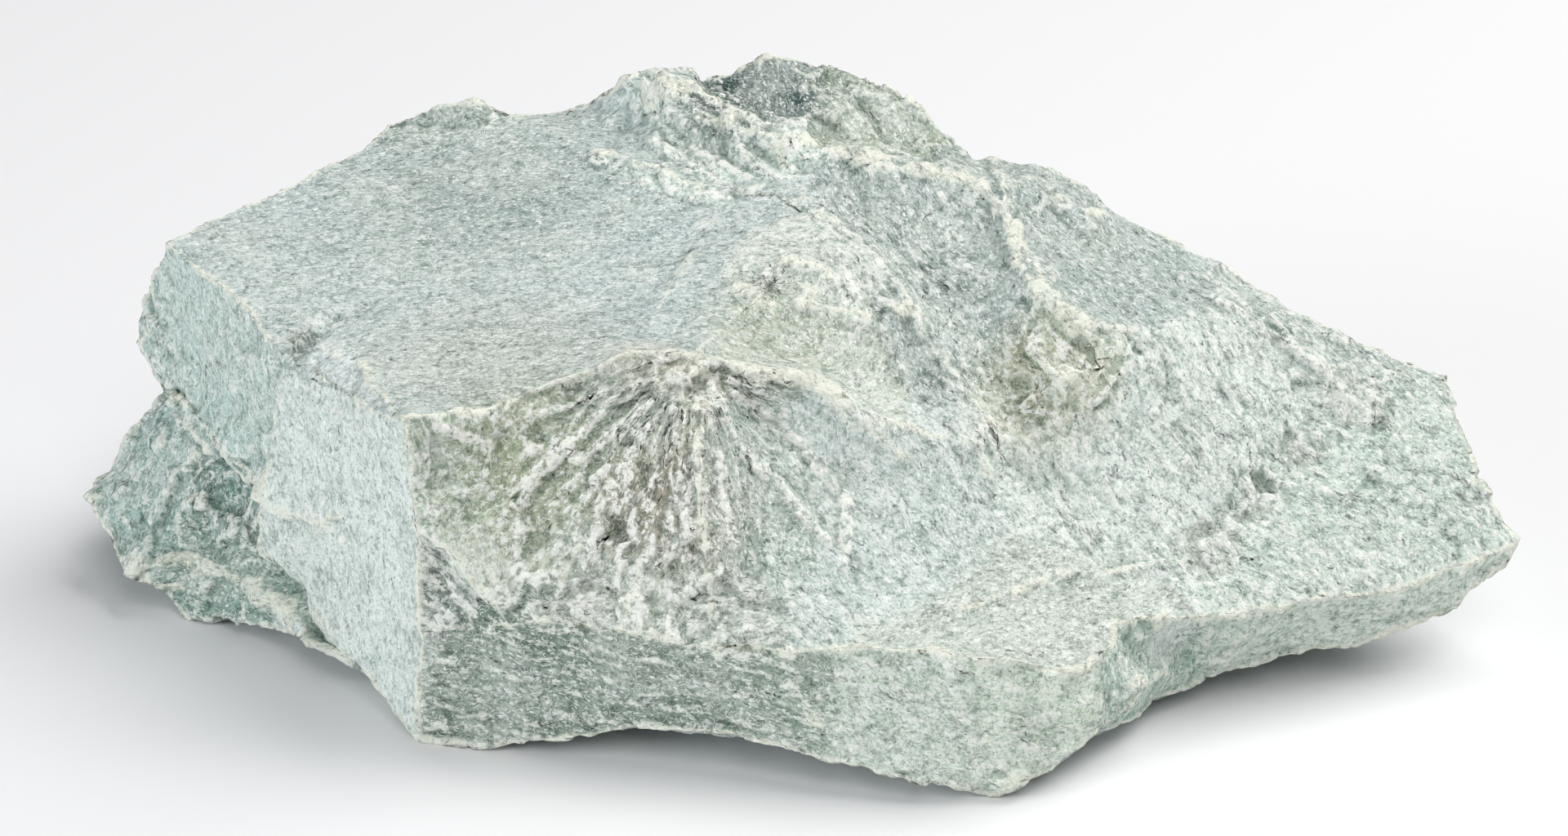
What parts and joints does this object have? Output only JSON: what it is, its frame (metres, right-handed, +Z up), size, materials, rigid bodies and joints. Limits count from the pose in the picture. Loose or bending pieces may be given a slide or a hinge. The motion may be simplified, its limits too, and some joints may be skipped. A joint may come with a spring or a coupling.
{
  "type": "raw clinoptilolite stone",
  "caption": "Raw clinoptilolite hand specimen: a broken pale green stone with a flat bedding face, a ribbed fan, stepped ledges and a rough back; rests on its flat underside.",
  "frame": {"origin": "middle of the footprint box, on the surface that the stone rests on", "axes": "+X along the stone's length towards the thin overhanging end, +Y from the ribbed front to the rough back, +Z up"},
  "size_m": [0.12, 0.0712, 0.041],
  "materials": {
    "stone": "dull broken mineral surface, pale celadon green with white grain and cream edges"
  },
  "bodies": {
    "root": {"stone": "stone"}
  },
  "joints": []
}
